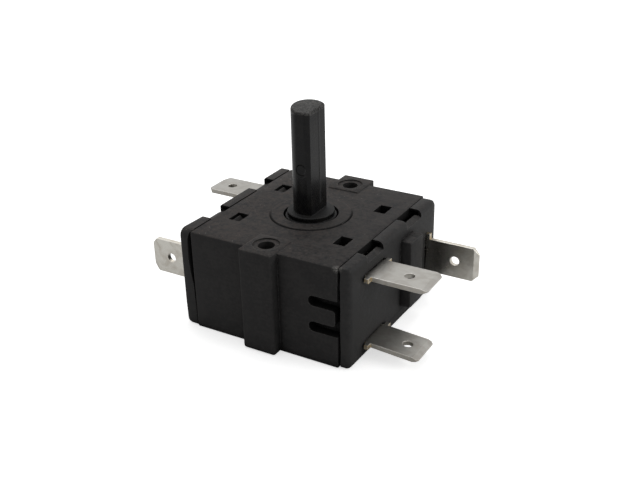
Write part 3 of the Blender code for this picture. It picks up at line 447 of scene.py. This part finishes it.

# %% [markdown]
# ## Glossy shaft plastic
# The shaft is a tougher, glossier plastic. It was pulled out of its mould along its length, so faint
# streaks run up it, and a parting line runs down the flat where the mould's halves met. Its end is
# rough where the sprue was broken off, and a pin that pushed it out left a round dent on its side. A
# painted shadow darkens the dent's lower edge. The streaks are a noise drawn out along Z.

# %% The shaft's finish
SCAR_HEIGHT = 36.2
FLAT_X = 1.5
SEAM_Y = 0.42
PIN_MARK = (-0.03, -2.90, 26.85)
PIN_MARK_RADIUS = 0.95
PIN_MARK_SHADE = (-0.55, -0.35, -0.75)
COLLAR_TOP = 20.0
SHAFT_BLACK = (0.0028, 0.0028, 0.0032)
SMEARED_BLACK = (0.0065, 0.0061, 0.0056)
RUBBED_SHAFT = (0.06, 0.06, 0.06)
TORN_PLASTIC = (0.050, 0.048, 0.045)
# Painted shadow: the black of the line under the dent's rim.
DENT_SHADOW_BLACK = (0.0006, 0.0006, 0.0006)


def shaft_gloss(name):
    look = Finish(name)
    x, y, z = look.split(look.place)
    streaks = look.noise(per_mm=1.0, detail=4.0, place=look.stretched((2.6, 2.6, 0.10)), roughness=0.6)
    smears = look.noise(per_mm=0.55, detail=4.0, warp=0.8)
    grain = look.noise(per_mm=11.0, detail=2.0)
    rounded, edge = look.edges(0.12)
    top = look.ease(z, SCAR_HEIGHT, SCAR_HEIGHT + 0.15)
    torn = look.noise(per_mm=2.2, detail=5.0, roughness=0.7, warp=1.2)
    on_flat = look.ease(x, FLAT_X, FLAT_X + 0.1) * look.ease(z, COLLAR_TOP, COLLAR_TOP + 0.2)
    seam = look.ease(abs(y - SEAM_Y), 0.35, 0.10) * on_flat
    collar = look.ease(z, COLLAR_TOP, COLLAR_TOP - 0.1) * look.ease(look.facing()[2], 0.3, 0.6)

    way, away = look.away_from(PIN_MARK)
    dent = look.ease(away, PIN_MARK_RADIUS, PIN_MARK_RADIUS - 0.2)
    lower_side = look.ease(look.vectors("DOT_PRODUCT", way, PIN_MARK_SHADE, out="Value"), 0.0, 0.5)
    # Painted shadow: a dark line along the dent's rim, on its lower side only.
    pin_dent_shadow = look.ease(abs(away - PIN_MARK_RADIUS), 0.22, 0.06) * lower_side

    colour = look.blend(look.ease(smears, 0.35, 0.7), SHAFT_BLACK, SMEARED_BLACK)
    colour = look.blend(edge * 0.2, colour, RUBBED_SHAFT)
    colour = look.blend(top * look.ease(torn, 0.42, 0.58), colour, TORN_PLASTIC)
    colour = look.blend(pin_dent_shadow * 0.9, colour, DENT_SHADOW_BLACK)
    unevenness = 0.08 * (streaks - 0.5) + 0.10 * (smears - 0.5)
    roughness = 0.27 + unevenness + 0.6 * pin_dent_shadow + 0.4 * collar + 0.30 * top + 0.25 * seam
    relief = streaks * 0.12 + grain * 0.10 + seam * 3.0 + top * torn * 16.0 - dent * 9.0
    return look.wear(
        Base_Color=colour, Roughness=roughness, Specular_IOR_Level=0.21,
        Normal=look.bump(relief, 0.008, rounded))


shaft_black = shaft_gloss("shaft_black")

# %% [markdown]
# ## Tinned brass
# The blades are punched from brass strip that was tinned before it was cut. Rolling leaves fine lines
# along the strip, handling leaves smudges, and the punch leaves bare yellow brass on the sheared edges,
# seen best at the shoulders beside the caps. `side` is the axis that the sheared sides face. The two
# upright blades are smoother, so that the dark cap is mirrored near their roots. The three flat blades
# get a darker copy of the same tin colour, which is painted shade against the light from above.

# %% The tinned strip
SHOULDER_END_X = 17.1
BRASS = (0.50, 0.41, 0.27)
RUBBED_TIN = (0.86, 0.85, 0.82)
PIT = (0.24, 0.22, 0.18)


def tinned_strip(name, side, bright, dull, smooth, depth):
    look = Finish(name)
    x = look.split(look.place)[0]
    lines = look.noise(per_mm=1.0, detail=4.0, place=look.stretched((0.25, 7.0, 7.0)), roughness=0.6)
    smudges = look.noise(per_mm=0.42, detail=4.0, warp=0.9)
    pits = look.specks(per_mm=2.3, size=0.13, share=0.06)
    facing = look.facing()
    sheared = look.ease(abs(facing[side]) + abs(facing[0]), 0.4, 0.8)
    near_cap = look.ease(abs(x), SHOULDER_END_X + 0.25, SHOULDER_END_X)
    scraped = look.ease(look.noise(per_mm=1.9, detail=3.0), 0.30, 0.55)
    rounded, edge = look.edges(0.11)

    colour = look.blend(look.ease(smudges, 0.36, 0.68), bright, dull)
    colour = look.blend(edge * 0.8, colour, RUBBED_TIN)
    colour = look.blend(pits * 0.5, colour, PIT)
    bare = sheared * (0.1 + 0.9 * near_cap) * scraped
    colour = look.blend(bare.clamped(), colour, BRASS)
    roughness = smooth + 0.16 * (lines - 0.5) + 0.16 * (smudges - 0.5) + 0.12 * sheared
    return look.wear(
        Base_Color=colour, Metallic=1.0, Roughness=roughness,
        Normal=look.bump(lines + 1.5 * pits, depth, rounded))


# Painted shade: the flat blades' tin is a darker copy of the upright blades' tin.
shaded_flat_tin = tinned_strip(
    "flat_blade_tin", side=1, bright=(0.38, 0.37, 0.345), dull=(0.31, 0.295, 0.27),
    smooth=0.34, depth=0.003)
upright_tin = tinned_strip(
    "upright_blade_tin", side=2, bright=(0.63, 0.612, 0.56), dull=(0.50, 0.47, 0.415),
    smooth=0.235, depth=0.0001)

# %% [markdown]
# ## Inside the switch
# The washer and the detent ring are nylon, darkened to grey as painted shade for the gap they sit in.
# The bridges are bare brass, their contacts are silver, and the springs and balls are steel. They are
# only seen with a cap off, but each one still has its own grain, so that nothing inside looks like
# painted clay.


# %% The inner finishes
def shade_darkened_nylon(name, paler_shade, darker_shade):
    look = Finish(name)
    clouds = look.noise(per_mm=0.7, detail=4.0)
    # Painted shade: both tones of the nylon are darkened to grey.
    colour = look.blend(look.ease(clouds, 0.3, 0.7), paler_shade, darker_shade)
    rounded, _ = look.edges(0.08)
    return look.wear(
        Base_Color=colour, Roughness=0.42 + 0.15 * clouds,
        Normal=look.bump(look.noise(per_mm=7.0), 0.01, rounded))


def bare_metal(name, bright, tarnished, dull, stretch):
    look = Finish(name)
    lines = look.noise(per_mm=1.0, detail=4.0, place=look.stretched(stretch))
    stains = look.noise(per_mm=0.8, detail=4.0, warp=0.7)
    colour = look.blend(look.ease(stains, 0.35, 0.7), bright, tarnished)
    rounded, _ = look.edges(0.05)
    return look.wear(
        Base_Color=colour, Metallic=1.0, Roughness=dull + 0.2 * (lines - 0.5),
        Normal=look.bump(lines, 0.004, rounded))


INNER = {
    "natural_nylon": shade_darkened_nylon("nylon", paler_shade=(0.21, 0.20, 0.17), darker_shade=(0.15, 0.14, 0.12)),
    "bridge_brass": bare_metal(
        "bridge_brass_bare", bright=(0.75, 0.56, 0.27), tarnished=(0.56, 0.40, 0.18),
        dull=0.34, stretch=(6, 0.3, 6)),
    "contact_silver": bare_metal(
        "contact_silver_bare", bright=(0.86, 0.85, 0.82), tarnished=(0.60, 0.57, 0.50),
        dull=0.30, stretch=(3, 3, 3)),
    "spring_steel": bare_metal(
        "spring_steel_bare", bright=(0.56, 0.56, 0.58), tarnished=(0.40, 0.39, 0.38),
        dull=0.26, stretch=(2, 2, 2)),
}
print("inner finishes:", len(INNER))

# %% [markdown]
# Copies with rounded edges could be made of the inner pieces too, but they are small and hidden. Each
# one keeps its CAD shape, and only its plain CAD material is traded for the finish above.

# %% Dress the inner CAD pieces where they are
dressed = 0
for node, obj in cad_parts.items():
    cad_slot = obj.material_slots[0].material.name.split(".")[0]
    if cad_slot in INNER:
        obj.material_slots[0].material = INNER[cad_slot]
        dressed += 1
print("inner pieces dressed:", dressed)

# %% [markdown]
# ## The springs
# A coil spring is neither part of the drum nor part of what it pushes on: it shortens between the two.
# The CAD model can only let it ride on the drum, so each spring is replaced by a steel-finished copy of
# itself that keeps the CAD shape and rides on the rotor.


def shortening_spring(node):
    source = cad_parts[node]
    piece = bpy.data.objects.new(node + "_coil", source.data.copy())
    SCENE.collection.objects.link(piece)
    piece.data.materials.clear()
    piece.data.materials.append(INNER["spring_steel"])
    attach(piece, "rotor")
    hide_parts(node)
    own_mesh(piece)


shortening_spring("upper_bridge_spring")
shortening_spring("lower_bridge_spring")
shortening_spring("detent_spring_front")
shortening_spring("detent_spring_back")


# %% [markdown]
# ## Round edges on the moulded and punched pieces
# A CAD solid arrives as loose triangles with knife edges. No moulding has those: each edge has a small
# radius that catches the light. The CAD solids could carry these radii, but no fit depends on them and
# they are tried out faster here. The triangles are welded, the flat ones joined into whole faces, and a
# Bevel modifier rounds what is still sharp. The new piece stands exactly where the CAD piece is.

# %% The finer copy of a CAD piece
WELD_REACH = 0.001
FLAT_WITHIN = math.radians(0.6)
SHARP_FROM = math.radians(32)
ROUNDED_FROM = math.radians(40)


def finer_piece(node, body, finish, radius, steps=3, share=None):
    """share, if given, takes an edge's two ends and gives its part of the radius."""
    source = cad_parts[node].data
    bm = bmesh.new()
    verts = [bm.verts.new(v.co) for v in source.vertices]
    for polygon in source.polygons:
        bm.faces.new([verts[i] for i in polygon.vertices])
    bmesh.ops.remove_doubles(bm, verts=bm.verts, dist=WELD_REACH * MM)
    bmesh.ops.dissolve_limit(bm, angle_limit=FLAT_WITHIN, verts=bm.verts, edges=bm.edges)
    if share:
        layer = bm.edges.layers.float.new("bevel_weight_edge")
        for edge in bm.edges:
            if edge.calc_face_angle(0.0) > ROUNDED_FROM:
                edge[layer] = share(*[v.co / MM for v in edge.verts])
    mesh = bpy.data.meshes.new(node + "_finer")
    bm.to_mesh(mesh)
    bm.free()
    mesh.shade_smooth()
    mesh.set_sharp_from_angle(angle=SHARP_FROM)
    mesh.materials.append(finish)
    piece = bpy.data.objects.new(node + "_finer", mesh)
    SCENE.collection.objects.link(piece)
    bevel = piece.modifiers.new("moulded_edges", "BEVEL")
    bevel.width = radius * MM
    bevel.segments = steps
    bevel.limit_method = "WEIGHT" if share else "ANGLE"
    bevel.angle_limit = ROUNDED_FROM
    bevel.harden_normals = True
    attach(piece, body)
    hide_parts(node)
    print(piece.name, "faces:", len(mesh.polygons))
    return piece


# %% [markdown]
# ## The housing, its cover and the end caps
# These four mouldings fill most of the picture. Their edges are rounded by about a tenth of a
# millimetre, as edges come out of a steel mould.

# %% The mouldings
finer_piece("housing", "case", housing_black, radius=0.07)
finer_piece("base_cover", "case", housing_black, radius=0.10)
right_cap = finer_piece("end_cap_right", "case", cap_black, radius=0.10)
left_cap = finer_piece("end_cap_left", "case", cap_black, radius=0.10)

# %% [markdown]
# ## A cap that gapes
# On this switch the left cap has sprung a little off the housing at its front corner, so a dark wedge
# shows beside the upper half of the wall. Its lower rim is also rolled further than the upper one. A
# turned cap would gape all along its seam, and a sculpted one would lose its flat faces. So the long
# seam edge is cut at a few levels and gapes by its own amount at each, and the plate swings out from
# its front notch. The right cap gets a seam that isn't quite even, and its rear end is moved a little
# back and out.

# %% How far each seam gapes, from the bottom up
LEFT_GAPE = (
    (0.0, 0.05), (4.0, 0.12), (8.0, 0.26), (10.0, 0.60),
    (12.5, 0.88), (16.0, 0.78), (17.4, 0.50), (18.0, 0.06))
RIGHT_GAPE = (
    (0.0, 0.10), (3.0, 0.20), (7.0, 0.14), (11.0, 0.22), (15.0, 0.16), (17.0, 0.26), (18.0, 0.06))


def gape_at(gapes, level):
    for (low, narrow), (high, wide) in zip(gapes, gapes[1:]):
        if level <= high:
            return narrow + (wide - narrow) * max(level - low, 0) / (high - low)
    return gapes[-1][1]


print("widest gapes in mm:", [max(gape for _, gape in gapes) for gapes in (LEFT_GAPE, RIGHT_GAPE)])

# %% [markdown]
# Both caps and the blades are reshaped by moving their vertices, which bmesh hands to Python one at a
# time. A face only bends where it has vertices, so it is cut across first. `SAME_PLACE` is how close
# two places are taken for one.

# %% Open a piece's mesh to work on it, and cut across it
SAME_PLACE = 0.01


def open_mesh(piece):
    bm = bmesh.new()
    bm.from_mesh(piece.data)
    return bm


def close_mesh(piece, bm):
    bm.to_mesh(piece.data)
    bm.free()


def cut_across(bm, place, normal):
    everything = bm.verts[:] + bm.edges[:] + bm.faces[:]
    bmesh.ops.bisect_plane(bm, geom=everything, plane_co=place, plane_no=normal)


print("places count as one within mm:", SAME_PLACE)

# %% [markdown]
# Both caps are worked on in the left one's place. `spring_out` swings the left cap's plate and rolls its
# lower rim, whose small round is blown up into a large one about another centre. `push_back` moves the
# right cap's rear end.

# %% Reshape the caps
TOUCHING_Z = 17.6
SEAM_X = -14.1
SEAM_WITHIN = 0.3
PLATE_X = -13.95
CAP_FRONT_Y = -15.0
NOTCH_Y = -9.7
SWING = 0.33 / 5.85
REAR_END_Y = 15.0
REAR_SHIFT = 0.35
REAR_SWING = 0.30 / 15.5
SMALL_ROLL = 0.35
LARGE_ROLL = 1.0
SMALL_CENTRE = Vector((-15.65, 0, 0.50))
LARGE_CENTRE = Vector((-15.0, 0, 1.15))


def spring_out(spot, near_seam):
    swing = 0 if near_seam and spot.z > TOUCHING_Z else max(NOTCH_Y - spot.y, 0) * SWING
    if spot.x < SMALL_CENTRE.x + SAME_PLACE and spot.z < SMALL_CENTRE.z + SAME_PLACE:
        arm = Vector((spot.x, 0, spot.z)) - SMALL_CENTRE
        rolled = LARGE_CENTRE + arm * (LARGE_ROLL / SMALL_ROLL)
        spot.x, spot.z = rolled.x, rolled.z
    spot.x -= swing


def push_back(spot, near_seam):
    spot.x -= 0 if near_seam else max(spot.y, 0) * REAR_SWING
    spot.y += REAR_SHIFT if spot.y > REAR_END_Y else 0


def reshape_cap(piece, way, gapes, bend):
    """way is -1 for the left cap and 1 for the right one, which is turned over to work on it."""
    bm = open_mesh(piece)
    for level, _ in gapes[1:-1]:
        cut_across(bm, (0, 0, level * MM), (0, 0, 1))
    moved = 0
    for vert in bm.verts:
        spot = vert.co / MM
        spot.x *= -way
        if spot.x > PLATE_X:
            continue
        near_seam = abs(spot.x - SEAM_X) < SEAM_WITHIN
        if near_seam and spot.y < CAP_FRONT_Y:
            spot.x -= gape_at(gapes, spot.z)
        else:
            bend(spot, near_seam)
        spot.x *= -way
        vert.co = spot * MM
        moved += 1
    close_mesh(piece, bm)
    print(piece.name, "vertices moved:", moved)


reshape_cap(left_cap, -1, LEFT_GAPE, spring_out)
reshape_cap(right_cap, 1, RIGHT_GAPE, push_back)

# %% [markdown]
# ## The shaft
# Drum, collar and shaft are one moulding that turns in the housing, so it rides on the rotor. It is
# rounded the least of all, since the edges beside its flat are crisp in the photograph.

# %% The rotor
finer_piece("rotor_shaft", "rotor", shaft_black, radius=0.05)

# %% [markdown]
# ## The blades
# Three blades lie flat and two stand on edge. The rim of a push-on blade is coined, which leaves a
# small slope all round that guides the receptacle on. The rest keeps the crisp edges of the punch. One
# bevel width for all would round the shoulders too, so each edge gets its own part of the width.

# %% How much of the coining each edge gets
COINED = 0.22
BLADE_START_X = SHOULDER_END_X - 0.1
TIP_EDGES_X = 24.2
LONG_EDGE = 1.0
TIP_COINING = 0.4
PUNCHED_CORNER = 0.2


def rim_share(first, second):
    nearest = min(abs(first.x), abs(second.x))
    if nearest > TIP_EDGES_X:
        return TIP_COINING
    on_rim = nearest > BLADE_START_X and (first - second).length > LONG_EDGE
    return 1.0 if on_rim else PUNCHED_CORNER


print("coined rim in mm:", COINED, "and at the tip:", round(COINED * TIP_COINING, 3))

# %% [markdown]
# The tip of the real blade is a blunt wedge. A wider bevel can't make one, because it stops at half the
# blade's thickness. So a line is cut across the blade, and what lies past it is thinned towards the
# blade's middle plane.

# %% Press the tips thinner
TIP_LENGTH = 0.9
TIP_THINNING = 0.4


def thin_tip(piece, axis):
    """Thins the last part of a blade along an axis, and leaves a crisp line where that starts."""
    bm = open_mesh(piece)
    way = 1 if sum(v.co.x for v in bm.verts) > 0 else -1
    start = max(v.co.x * way for v in bm.verts) - TIP_LENGTH * MM
    cut_across(bm, (start * way, 0, 0), (1, 0, 0))
    for edge in bm.edges:
        if all(abs(v.co.x * way - start) < SAME_PLACE * MM for v in edge.verts):
            edge.smooth = False
    tip = [v for v in bm.verts if v.co.x * way > start + SAME_PLACE * MM]
    sides = [v.co[axis] for v in tip]
    middle = (min(sides) + max(sides)) / 2
    for vert in tip:
        share = (vert.co.x * way - start) / (TIP_LENGTH * MM)
        vert.co[axis] = middle + (vert.co[axis] - middle) * (1 - TIP_THINNING * share)
    print(piece.name, "thinned tip vertices:", len(tip))
    close_mesh(piece, bm)


# %% [markdown]
# All five blades are of one kind, so one loop makes them. They differ in their finish and in the axis
# of their thickness, which is 2 for the flat ones and 1 for those on edge.

# %% The five terminals
for node, finish, thickness_axis in (
        ("terminal_right_upper", shaded_flat_tin, 2),
        ("terminal_right_lower", shaded_flat_tin, 2),
        ("terminal_left_rear", shaded_flat_tin, 2),
        ("terminal_right_rear", upright_tin, 1),
        ("terminal_left_front", upright_tin, 1)):
    blade = finer_piece(node, "case", finish, COINED, steps=2, share=rim_share)
    thin_tip(blade, thickness_axis)
